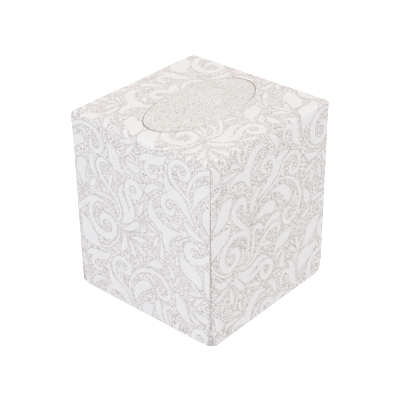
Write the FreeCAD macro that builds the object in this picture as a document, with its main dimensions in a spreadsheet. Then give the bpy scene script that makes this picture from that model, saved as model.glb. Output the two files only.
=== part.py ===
"""Upright cube tissue box: a folded and glued paperboard carton, the oval panel that is torn out of
its top to open it, the slit film glued under that opening, and the folded tissues inside.

Millimetres, +Z up. The origin is the middle of the carton's foot. The front is -Y, and the oval is
long along X. The blank is a cross: the top panel in the middle, a side panel hanging off each of its
four folds, and a bottom flap under each side panel. The front and back panels carry glue flaps, which
turn the four upright corners and are glued behind the left and right panels.
"""
import FreeCAD, Part
import os
import Sketcher

SIZES = {
    # the outside of the carton
    "box_width": 110.0,
    "box_depth": 110.0,
    "box_height": 124.0,
    # the printed paperboard and its folds
    "board": 0.45,
    "top_fold_radius": 3.5,
    "bottom_fold_radius": 3.0,
    # how far the left and right panels' raw edges stand back from the corner
    "seam_setback_top": 0.3,
    "seam_setback_bottom": 1.6,
    # glue flaps behind the left and right panels
    "glue_flap_width": 15.0,
    "glue_flap_taper": 9.0,
    # bottom flaps: two folded in first, and two glued over them, the front one the longer
    "inner_bottom_flap_length": 40.0,
    "inner_bottom_flap_side_gap": 1.0,
    "outer_bottom_flap_slit": 0.5,
    "bottom_slit_behind_middle": 14.0,
    # the oval die cut in the top panel and the panel that it frees
    "opening_length": 88.0,
    "opening_width": 46.0,
    "cut_gap_at_ends": 0.9,
    "cut_gap_at_sides": 0.15,
    "nick_length": 1.2,
    "nick_spacing": 22.0,
    # the slit film glued under the opening
    "film": 0.08,
    "film_end_gap": 0.5,
    "film_side_margin": 8.0,
    "film_slit_length": 68.0,
    "film_slit_width": 1.0,
    "film_slit_end_radius": 2.0,
    # the folded tissues
    "stack_side_gap": 1.2,
    "stack_head_gap": 5.0,
    "stack_crown_radius": 26.0,
    "stack_crease_gap": 0.8,
}

# how far two places may differ and still be the same place
SAME_PLACE = 1e-4

# expressions that several pieces share
HALF_WIDTH = "Sizes.box_width / 2"
HALF_DEPTH = "Sizes.box_depth / 2"
UNDER_TOP = "Sizes.box_height - Sizes.board"
FLAP_FLOOR = "2 * Sizes.board"

doc = FreeCAD.newDocument("tissue_box")


def make_sizes():
    """The driving dimensions, one named cell each."""
    sheet = doc.addObject("Spreadsheet::Sheet", "Sizes")
    for row, (alias, value) in enumerate(SIZES.items(), start=1):
        sheet.set(f"A{row}", alias)
        sheet.set(f"B{row}", str(value))
        sheet.setAlias(f"B{row}", alias)
    doc.recompute()


def make_body(label):
    body = doc.addObject("PartDesign::Body", label)
    body.Label = label
    return body


def make_sketch(body, name, role, offset=None):
    """An empty sketch on one of the body's origin planes, moved off it by the offset expression."""
    plane = next(item for item in body.Origin.OriginFeatures if item.Role == role)
    sketch = body.newObject("Sketcher::SketchObject", name)
    sketch.AttachmentSupport = [(plane, "")]
    sketch.MapMode = "FlatFace"
    if offset is not None:
        sketch.setExpression("AttachmentOffset.Base.z", offset)
    return sketch


def bind(sketch, constraint, name, expression):
    """Adds a driving constraint whose value is an expression of the sheet's cells."""
    index = sketch.addConstraint(constraint)
    sketch.renameConstraint(index, name)
    sketch.setExpression(f"Constraints.{name}", expression)


def add_polygon(sketch, corners):
    """Joins the corners, each an (x, y) pair of expressions, with straight lines."""
    first = sketch.GeometryCount
    count = len(corners)
    origin = FreeCAD.Vector(0, 0, 0)
    for number in range(count):
        end = FreeCAD.Vector(1 + number, 1 + number, 0)
        sketch.addGeometry(Part.LineSegment(origin, end))
    for number in range(count):
        following = first + (number + 1) % count
        sketch.addConstraint(Sketcher.Constraint("Coincident", first + number, 2, following, 1))
    for number, (x, y) in enumerate(corners):
        line = first + number
        bind(sketch, Sketcher.Constraint("DistanceX", -1, 1, line, 1, 1.0), f"x{line}", x)
        bind(sketch, Sketcher.Constraint("DistanceY", -1, 1, line, 1, 1.0), f"y{line}", y)


def add_rectangle(sketch, left, right, low, high):
    add_polygon(sketch, [(left, low), (right, low), (right, high), (left, high)])


def add_ellipse(sketch, length, width, seed_length, seed_width):
    """An ellipse about the origin, long along the sketch's first axis."""
    long_end = FreeCAD.Vector(seed_length / 2, 0, 0)
    short_end = FreeCAD.Vector(0, seed_width / 2, 0)
    curve = sketch.addGeometry(Part.Ellipse(long_end, short_end, FreeCAD.Vector(0, 0, 0)))
    sketch.exposeInternalGeometry(curve)
    long_axis = curve + 1
    short_axis = curve + 2
    sketch.addConstraint(Sketcher.Constraint("Coincident", curve, 3, -1, 1))
    sketch.addConstraint(Sketcher.Constraint("Horizontal", long_axis))
    bind(sketch, Sketcher.Constraint("Distance", long_axis, seed_length), "oval_length", length)
    bind(sketch, Sketcher.Constraint("Distance", short_axis, seed_width), "oval_width", width)


def add_feature(body, kind, name, sketch, length, backwards=False):
    """A Pad or a Pocket of the sketch, its depth an expression."""
    feature = body.newObject(kind, name)
    feature.Profile = sketch
    feature.setExpression("Length", length)
    feature.Reversed = backwards
    doc.recompute()
    return feature


def add_pad(body, name, sketch, length, backwards=False):
    return add_feature(body, "PartDesign::Pad", name, sketch, length, backwards)


def add_pocket(body, name, sketch, length, backwards=False):
    before = body.Shape.Volume
    pocket = add_feature(body, "PartDesign::Pocket", name, sketch, length, backwards)
    if body.Shape.Volume >= before:
        raise RuntimeError(f"{name} cut nothing")
    return pocket


def rim_edges(shape, height, facing="xy"):
    """The names of the level edges at this height that lie on the shape's outermost sides, of
    those sides that face the given directions."""
    box = shape.BoundBox
    limits = {"x": (box.XMin, box.XMax), "y": (box.YMin, box.YMax)}
    names = []
    for number, edge in enumerate(shape.Edges, start=1):
        ends = [vertex.Point for vertex in edge.Vertexes]
        level = len(ends) == 2 and all(abs(end.z - height) < SAME_PLACE for end in ends)
        for axis in facing:
            for limit in limits[axis]:
                if level and all(abs(getattr(end, axis) - limit) < SAME_PLACE for end in ends):
                    names.append(f"Edge{number}")
    return names


def add_fillet(body, name, base, edges, radius):
    fillet = body.newObject("PartDesign::Fillet", name)
    fillet.Base = (base, edges)
    fillet.setExpression("Radius", radius)
    doc.recompute()
    return fillet


def fold_block(body, name, inset):
    """A block with rounded folds along its four top and four bottom edges, standing in from the
    carton's outside by the inset on every side."""
    outline = make_sketch(body, f"{name}_outline", "XY_Plane", inset)
    half_width = f"({HALF_WIDTH} - {inset})"
    half_depth = f"({HALF_DEPTH} - {inset})"
    add_rectangle(outline, f"-{half_width}", half_width, f"-{half_depth}", half_depth)
    block = add_pad(body, name, outline, f"Sizes.box_height - 2 * {inset}")
    box = block.Shape.BoundBox
    top = rim_edges(block.Shape, box.ZMax)
    folds = add_fillet(body, f"{name}_top_folds", block, top, f"Sizes.top_fold_radius - {inset}")
    bottom = rim_edges(folds.Shape, box.ZMin)
    add_fillet(body, f"{name}_bottom_folds", folds, bottom, f"Sizes.bottom_fold_radius - {inset}")


def fold_wrap(body):
    """The wrapped board: the outside block, less a hollow one thickness of board inside it."""
    fold_block(body, "wrapped_block", "0")
    hollow_form = make_body("hollow_form")
    fold_block(hollow_form, "hollow_block", "Sizes.board")
    before = body.Shape.Volume
    hollow = body.newObject("PartDesign::Boolean", "hollow")
    hollow.Type = "Cut"
    hollow.setObjects([hollow_form])
    doc.recompute()
    if body.Shape.Volume >= before:
        raise RuntimeError("the hollow cut nothing")


def add_glue_flap(body, side, side_sign, end, end_sign):
    """A flap that has turned the corner from the front or back panel and lies behind the left or
    right panel. Its free edge is shorter, cut at a slant so that it clears the folds."""
    wall = f"{side_sign} * ({HALF_WIDTH} - Sizes.board)"
    sketch = make_sketch(body, f"glue_flap_{side}_{end}_outline", "YZ_Plane", wall)
    corner = f"{end_sign} * ({HALF_DEPTH} - Sizes.board)"
    free_edge = f"{end_sign} * ({HALF_DEPTH} - Sizes.board - Sizes.glue_flap_width)"
    low = "Sizes.bottom_fold_radius - Sizes.board"
    high = "Sizes.box_height - Sizes.top_fold_radius + Sizes.board"
    add_polygon(sketch, [
        (corner, low),
        (free_edge, f"{low} + Sizes.glue_flap_taper"),
        (free_edge, f"{high} - Sizes.glue_flap_taper"),
        (corner, high),
    ])
    add_pad(body, f"glue_flap_{side}_{end}", sketch, "Sizes.board", backwards=side_sign > 0)


def cut_seam(body, side, side_sign, end, end_sign):
    """The left or right panel's raw edge, which stands back from the corner and drifts further
    back towards the foot, so that a strip of the glue flap shows beside it."""
    face = f"{side_sign} * {HALF_WIDTH}"
    sketch = make_sketch(body, f"seam_{side}_{end}_outline", "YZ_Plane", face)
    corner = f"{end_sign} * {HALF_DEPTH}"
    low = "Sizes.bottom_fold_radius"
    high = "Sizes.box_height - Sizes.top_fold_radius"
    add_polygon(sketch, [
        (corner, low),
        (f"{end_sign} * ({HALF_DEPTH} - Sizes.seam_setback_bottom)", low),
        (f"{end_sign} * ({HALF_DEPTH} - Sizes.seam_setback_top)", high),
        (corner, high),
    ])
    add_pocket(body, f"seam_{side}_{end}", sketch, "Sizes.board", backwards=side_sign < 0)


def add_inner_bottom_flap(body, side, side_sign):
    """The flap under the left or right panel, folded in first and lying on the outer flaps. It
    starts inside the curve of the fold, so that no edge of it meets an edge of the slits below."""
    sketch = make_sketch(body, f"inner_bottom_flap_{side}_outline", "XY_Plane", "Sizes.board")
    fold = f"{side_sign} * ({HALF_WIDTH} - Sizes.bottom_fold_radius + 2 * Sizes.board)"
    free_edge = f"{side_sign} * ({HALF_WIDTH} - Sizes.bottom_fold_radius - Sizes.inner_bottom_flap_length)"
    half = f"({HALF_DEPTH} - Sizes.bottom_fold_radius - Sizes.inner_bottom_flap_side_gap)"
    add_rectangle(sketch, fold, free_edge, f"-{half}", half)
    add_pad(body, f"inner_bottom_flap_{side}", sketch, "Sizes.board")


def cut_bottom_slits(body):
    """The outer bottom flaps' free edges: they meet behind the middle, and stop at the side folds."""
    reach = f"({HALF_WIDTH} - Sizes.bottom_fold_radius)"
    half_depth = f"({HALF_DEPTH} - Sizes.bottom_fold_radius)"
    meeting = make_sketch(body, "bottom_slit_outline", "XY_Plane")
    front_edge = "Sizes.bottom_slit_behind_middle"
    back_edge = "(Sizes.bottom_slit_behind_middle + Sizes.outer_bottom_flap_slit)"
    add_rectangle(meeting, f"-{reach}", reach, front_edge, back_edge)
    add_pocket(body, "bottom_slit", meeting, "Sizes.board", backwards=True)
    for side, side_sign in (("left", -1), ("right", 1)):
        sketch = make_sketch(body, f"bottom_side_slit_{side}_outline", "XY_Plane")
        outer = f"{side_sign} * {reach}"
        inner = f"{side_sign} * ({reach} - Sizes.outer_bottom_flap_slit)"
        add_rectangle(sketch, outer, inner, f"-{half_depth}", half_depth)
        add_pocket(body, f"bottom_side_slit_{side}", sketch, "Sizes.board", backwards=True)


def cut_opening(body):
    """The oval die cut through the top panel."""
    sketch = make_sketch(body, "opening_outline", "XY_Plane", "Sizes.box_height")
    add_ellipse(sketch, "Sizes.opening_length", "Sizes.opening_width",
                SIZES["opening_length"], SIZES["opening_width"])
    add_pocket(body, "opening", sketch, "Sizes.board")


def make_carton():
    """The whole printed blank, folded and glued: one piece of paperboard."""
    body = make_body("carton")
    fold_wrap(body)
    for side, side_sign in (("left", -1), ("right", 1)):
        add_inner_bottom_flap(body, side, side_sign)
        for end, end_sign in (("front", -1), ("back", 1)):
            add_glue_flap(body, side, side_sign, end, end_sign)
            cut_seam(body, side, side_sign, end, end_sign)
    cut_bottom_slits(body)
    cut_opening(body)
    return body


def make_oval_plate(name, length, width):
    """A plate of board in the top panel, with an oval outline of the given full sizes."""
    oval = doc.addObject("Part::Ellipse", f"{name}_outline")
    oval.setExpression("MajorRadius", f"({length}) / 2")
    oval.setExpression("MinorRadius", f"({width}) / 2")
    oval.setExpression("Placement.Base.z", UNDER_TOP)
    plate = doc.addObject("Part::Extrusion", name)
    plate.Base = oval
    plate.DirMode = "Custom"
    plate.Dir = FreeCAD.Vector(0, 0, 1)
    plate.setExpression("LengthFwd", "Sizes.board")
    plate.Solid = True
    return plate


def make_tear_out_panel():
    """The oval of board that the die cut frees but for a few nicks along its two long sides. The
    nicks are bars across the whole oval, trimmed to the rim of the opening that they hold on to."""
    plate = make_oval_plate(
        "oval_plate",
        "Sizes.opening_length - 2 * Sizes.cut_gap_at_ends",
        "Sizes.opening_width - 2 * Sizes.cut_gap_at_sides")
    rim = make_oval_plate("opening_form", "Sizes.opening_length", "Sizes.opening_width")
    bars = []
    for place in (-1, 0, 1):
        bar = doc.addObject("Part::Box", f"nick_bar_{place + 2}")
        bar.setExpression("Length", "Sizes.nick_length")
        bar.setExpression("Width", "Sizes.opening_width")
        bar.setExpression("Height", "Sizes.board")
        bar.setExpression("Placement.Base.x", f"{place} * Sizes.nick_spacing - Sizes.nick_length / 2")
        bar.setExpression("Placement.Base.y", "-Sizes.opening_width / 2")
        bar.setExpression("Placement.Base.z", UNDER_TOP)
        bars.append(bar)
    all_bars = doc.addObject("Part::MultiFuse", "nick_bars")
    all_bars.Shapes = bars
    nicks = doc.addObject("Part::MultiCommon", "nicks")
    nicks.Shapes = [all_bars, rim]
    panel = doc.addObject("Part::MultiFuse", "tear_out_panel")
    panel.Shapes = [plate, nicks]
    panel.Label = "tear_out_panel"
    doc.recompute()
    return panel


def make_film_insert():
    """Clear film glued to the underside of the top, with the slit that holds a tissue up."""
    body = make_body("film_insert")
    underside = f"{UNDER_TOP} - Sizes.film"
    outline = make_sketch(body, "film_outline", "XY_Plane", underside)
    half_length = f"({HALF_WIDTH} - Sizes.top_fold_radius - Sizes.film_end_gap)"
    half_width = "(Sizes.opening_width / 2 + Sizes.film_side_margin)"
    add_rectangle(outline, f"-{half_length}", half_length, f"-{half_width}", half_width)
    add_pad(body, "film_sheet", outline, "Sizes.film")

    slit = make_sketch(body, "film_slit_outline", "XY_Plane", underside)
    half_slit = "Sizes.film_slit_length / 2"
    half_gap = "Sizes.film_slit_width / 2"
    add_rectangle(slit, f"-{half_slit}", half_slit, f"-{half_gap}", half_gap)
    add_pocket(body, "film_slit", slit, "Sizes.film", backwards=True)

    for number, place in enumerate((-1, 1)):
        end = make_sketch(body, f"film_slit_end_{number + 1}_outline", "XY_Plane", underside)
        seed = place * SIZES["film_slit_length"] / 2
        radius = SIZES["film_slit_end_radius"]
        end.addGeometry(Part.Circle(FreeCAD.Vector(seed, 0, 0), FreeCAD.Vector(0, 0, 1), radius))
        end.addConstraint(Sketcher.Constraint("PointOnObject", 0, 3, -1))
        bind(end, Sketcher.Constraint("DistanceX", -1, 1, 0, 3, seed), "place", f"{place} * {half_slit}")
        bind(end, Sketcher.Constraint("Radius", 0, radius), "end_radius", "Sizes.film_slit_end_radius")
        add_pocket(body, f"film_slit_end_{number + 1}", end, "Sizes.film", backwards=True)
    return body


def make_tissue_stack():
    """The folded tissues as one block: a flat pile bent double over its middle, so that it has a
    rounded crown and a crease that runs up from below between its two halves."""
    body = make_body("tissue_stack")
    half_width = f"({HALF_WIDTH} - 2 * Sizes.board - Sizes.stack_side_gap)"
    crown = f"({UNDER_TOP} - Sizes.film - Sizes.stack_head_gap)"
    crease_top = f"({crown} - {half_width})"
    half_crease = "Sizes.stack_crease_gap / 2"
    profile = make_sketch(body, "stack_profile", "XZ_Plane")
    add_polygon(profile, [
        (f"-{half_width}", FLAP_FLOOR),
        (f"-{half_crease}", FLAP_FLOOR),
        (f"-{half_crease}", crease_top),
        (half_crease, crease_top),
        (half_crease, FLAP_FLOOR),
        (half_width, FLAP_FLOOR),
        (half_width, crown),
        (f"-{half_width}", crown),
    ])
    block = body.newObject("PartDesign::Pad", "stack_block")
    block.Profile = profile
    block.Midplane = True
    block.setExpression("Length", f"2 * ({HALF_DEPTH} - Sizes.board - Sizes.stack_side_gap)")
    doc.recompute()
    box = block.Shape.BoundBox
    crown_edges = rim_edges(block.Shape, box.ZMax, facing="x")
    crowned = add_fillet(body, "stack_crown", block, crown_edges, "Sizes.stack_crown_radius")
    foot_edges = rim_edges(crowned.Shape, box.ZMin)
    add_fillet(body, "stack_foot", crowned, foot_edges, "Sizes.bottom_fold_radius")
    return body


def check_and_export(pieces):
    """Stops if anything failed; otherwise writes one file for each piece, named by its label."""
    doc.recompute()
    for item in doc.Objects:
        if "Invalid" in item.State or "Error" in item.State:
            raise RuntimeError(f"{item.Name} is {item.State}")
    for piece in pieces:
        if piece.Shape.isNull() or not piece.Shape.isValid():
            raise RuntimeError(f"{piece.Label} has no valid shape")
        if len(piece.Shape.Solids) != 1:
            raise RuntimeError(f"{piece.Label} is {len(piece.Shape.Solids)} solids")
    os.makedirs("parts", exist_ok=True)
    for piece in pieces:
        piece.Shape.exportStep(f"parts/{piece.Label}.step")
        box = piece.Shape.BoundBox
        print(f"{piece.Label}: {piece.Shape.Volume:.1f} mm3, {box.XLength:.2f} x {box.YLength:.2f}"
              f" x {box.ZLength:.2f} from z {box.ZMin:.2f}")


make_sizes()
check_and_export([
    make_carton(),
    make_tear_out_panel(),
    make_film_insert(),
    make_tissue_stack(),
])
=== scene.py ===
"""Upright cube tissue box, dressed over its CAD frame.

The real box is one printed and varnished paperboard blank: the top in the middle, four walls
folded down from it, glue flaps behind the left and right walls, and bottom flaps. The blank is
laid out flat here in millimetres, printed, given its board thickness, and folded by one rule,
so the print runs over every fold as it does on the real box. The oval panel is a second such
piece, and the film and the tissues keep their CAD solids. Every length is in millimetres until
a mesh is made, and the object stands at X right, Y back, Z up.
"""

import math

import bpy
import numpy as np
from mathutils import Matrix, Vector, kdtree
from mathutils.geometry import delaunay_2d_cdt


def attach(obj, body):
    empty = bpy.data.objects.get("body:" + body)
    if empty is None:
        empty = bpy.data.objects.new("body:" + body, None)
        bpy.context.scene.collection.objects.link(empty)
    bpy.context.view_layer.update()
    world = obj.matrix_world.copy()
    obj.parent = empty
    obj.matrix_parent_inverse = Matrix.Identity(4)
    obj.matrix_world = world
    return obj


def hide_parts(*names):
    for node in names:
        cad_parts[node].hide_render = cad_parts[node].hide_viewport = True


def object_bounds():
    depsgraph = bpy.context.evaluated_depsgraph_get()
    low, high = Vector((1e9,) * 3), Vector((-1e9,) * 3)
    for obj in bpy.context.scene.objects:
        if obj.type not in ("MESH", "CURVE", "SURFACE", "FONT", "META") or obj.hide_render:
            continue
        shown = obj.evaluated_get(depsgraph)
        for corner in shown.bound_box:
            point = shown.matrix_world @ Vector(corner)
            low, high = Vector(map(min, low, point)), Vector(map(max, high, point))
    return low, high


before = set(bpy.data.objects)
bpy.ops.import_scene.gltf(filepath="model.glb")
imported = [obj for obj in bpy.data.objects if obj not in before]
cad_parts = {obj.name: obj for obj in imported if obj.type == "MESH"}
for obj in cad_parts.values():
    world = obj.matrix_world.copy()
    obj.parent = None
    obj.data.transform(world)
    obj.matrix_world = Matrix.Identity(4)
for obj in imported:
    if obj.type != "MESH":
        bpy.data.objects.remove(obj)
cad_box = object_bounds()

MM = 0.001

# The carton. Its box is the frame's, and its board and its top folds are as in the part's source.
HALF = round(cad_box[1][0] / MM, 3)     # half the width and depth of the box
HEIGHT = round(cad_box[1][2] / MM, 3)
BOARD = 0.45                # folding boxboard
TOP_RADIUS = 3.5            # outside radius of the soft folds round the top
FOOT_RADIUS = 1.0           # the folds round the foot are pressed tighter than the solid's
FOLD_STEPS = 6              # flat strips that a fold is drawn with
TOP_FLAT = HALF - TOP_RADIUS
FOOT_FLAT = HALF - FOOT_RADIUS
TOP_ARC = TOP_RADIUS * math.pi / 2
FOOT_ARC = FOOT_RADIUS * math.pi / 2
WALL_START = TOP_FLAT + TOP_ARC
FRONT_WALL_END = WALL_START + HEIGHT - TOP_RADIUS - FOOT_RADIUS
SIDE_WALL_END = FRONT_WALL_END - BOARD
UPRIGHT_RADIUS = 0.6        # the glue flaps turn the upright corners this tightly
UPRIGHT_STEPS = 3
UPRIGHT_FLAT = HALF - BOARD - UPRIGHT_RADIUS
UPRIGHT_ARC = UPRIGHT_RADIUS * math.pi / 2
FRONT_HALF_WIDTH = HALF - BOARD
MITRE_GAP = 0.02            # between a side wall's and a front wall's top fold at a corner
MITRE_END = 0.15            # how far the board's inside may pass the mitre where the fold ends

# The glue flaps, which turn the upright corners of the front and back panels.
GLUE_FLAP_WIDTH = 14.4
GLUE_FLAP_FOOT_WIDTH = 4.8  # what the taper leaves at the foot, to close the seam there
GLUE_FLAP_END = UPRIGHT_FLAT + UPRIGHT_ARC + GLUE_FLAP_WIDTH
GLUE_FLAP_FOOT_END = UPRIGHT_FLAT + UPRIGHT_ARC + GLUE_FLAP_FOOT_WIDTH
GLUE_FLAP_TAPER = 9.0       # height of each tapered end
GLUE_FLAP_DROP = 0.6        # a flap starts this far below the top fold
GLUE_FLAP_LIFT = 0.1        # and ends this far above the foot fold
EASE_TOP = 1.5              # the turn grows over this much of the top fold
EASE_FOOT = 2.0             # and fades over this much past the wall

# The left and right walls stop short of the corners, more and more towards the foot. Each pair
# is a setback and its height above the foot fold.
SETBACK_TOP = 0.5
SETBACKS = ((1.7, 32.0), (2.4, 11.0), (3.6, 0.0))
SETBACK_FOOT = SETBACKS[-1][0]

# The bottom flaps.
FLAP_STEP_IN = 0.6          # a flap is this much narrower on each side than its wall
SLIT_HALF = 0.25            # half the slit between the two outer flaps
SLIT_BEHIND_MIDDLE = 14.0
INNER_FLAP_LENGTH = 40.0
INNER_FLAP_CORNER = 6.0     # length of the corner cut off at the flap's end
INNER_FLAP_NARROWING = (2.0, 7.0)       # before and past that corner
PRINT_BLEED = 5.0           # the print runs this far on to the bottom flaps

# How the box departs from flat walls and sharp corners.
WAVE_DEPTH = 0.35
WAVE_MARGIN = 8.0           # the walls are flat this close to the top and the foot
WAVE_RISE = 30.0            # and sink in over this height
EDGE_WANDER = 0.12
FOOT_CORNER_REACH = 3.6     # how far from a corner its blunting starts
FRONT_FOOT_CORNER_REACH = 5.2
FOOT_CORNER_RISE = 3.0
TOP_CORNER_REACH = 2.0
CORNER_PUSH = 0.48          # the corner's tip moves in by this share of the reach, each way

# How the mesh is drawn.
GRID = 11.0                 # spacing of the lines that let the walls sink in smoothly
PAST_EDGE = 1.0             # a line that crosses a glue flap ends this far past it
LINE_END_GAP = 0.2          # the lines round an upright corner end this far inside the wall
SAME_PLACE = 0.01
MERGE_DISTANCE = 2e-3       # points closer than this become one
LEAST_AREA = 1e-12

# The oval opening and the panel nicked into it.
OPENING_HALF_LENGTH = 44.0
OPENING_HALF_WIDTH = 23.0
PANEL_HALF_LENGTH = 43.35
PANEL_HALF_WIDTH = 22.92
OVAL_POINTS = 144
NICK_POINTS = 10            # finer steps to each of those, to place the nicks by
NICK_LENGTH = 1.2
NICK_PLACES = (-22.0, 0.0, 22.0)
CUT_MARGIN = 2.0            # an oval this far outside the opening holds the whole cut
ROUND_THE_CUT = np.array((OPENING_HALF_LENGTH + CUT_MARGIN, OPENING_HALF_WIDTH + CUT_MARGIN))

# The print repeats on a half-drop lattice.
REPEAT_ACROSS = np.array((83.60, -50.93))
REPEAT_DOWN = np.array((1.56, 101.09))
PRINT_ORIGIN = np.array((-HALF, HALF))      # the repeat's corner, from the middle of the top
OUTLINE_WIDTH = 0.65        # the darker dotted line round each shape
LEAST_HALF_WIDTH = 0.12     # of a stem, before the line round it
CURVE_STEP = 1.25           # length of one straight piece of a printed outline

# What is printed on a patch of board.
GROUND, OUTLINE, ORNAMENT, BARE, CUT, FLAP = 0.0, 1.0, 2.0, 3.0, 4.0, 5.0

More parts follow.
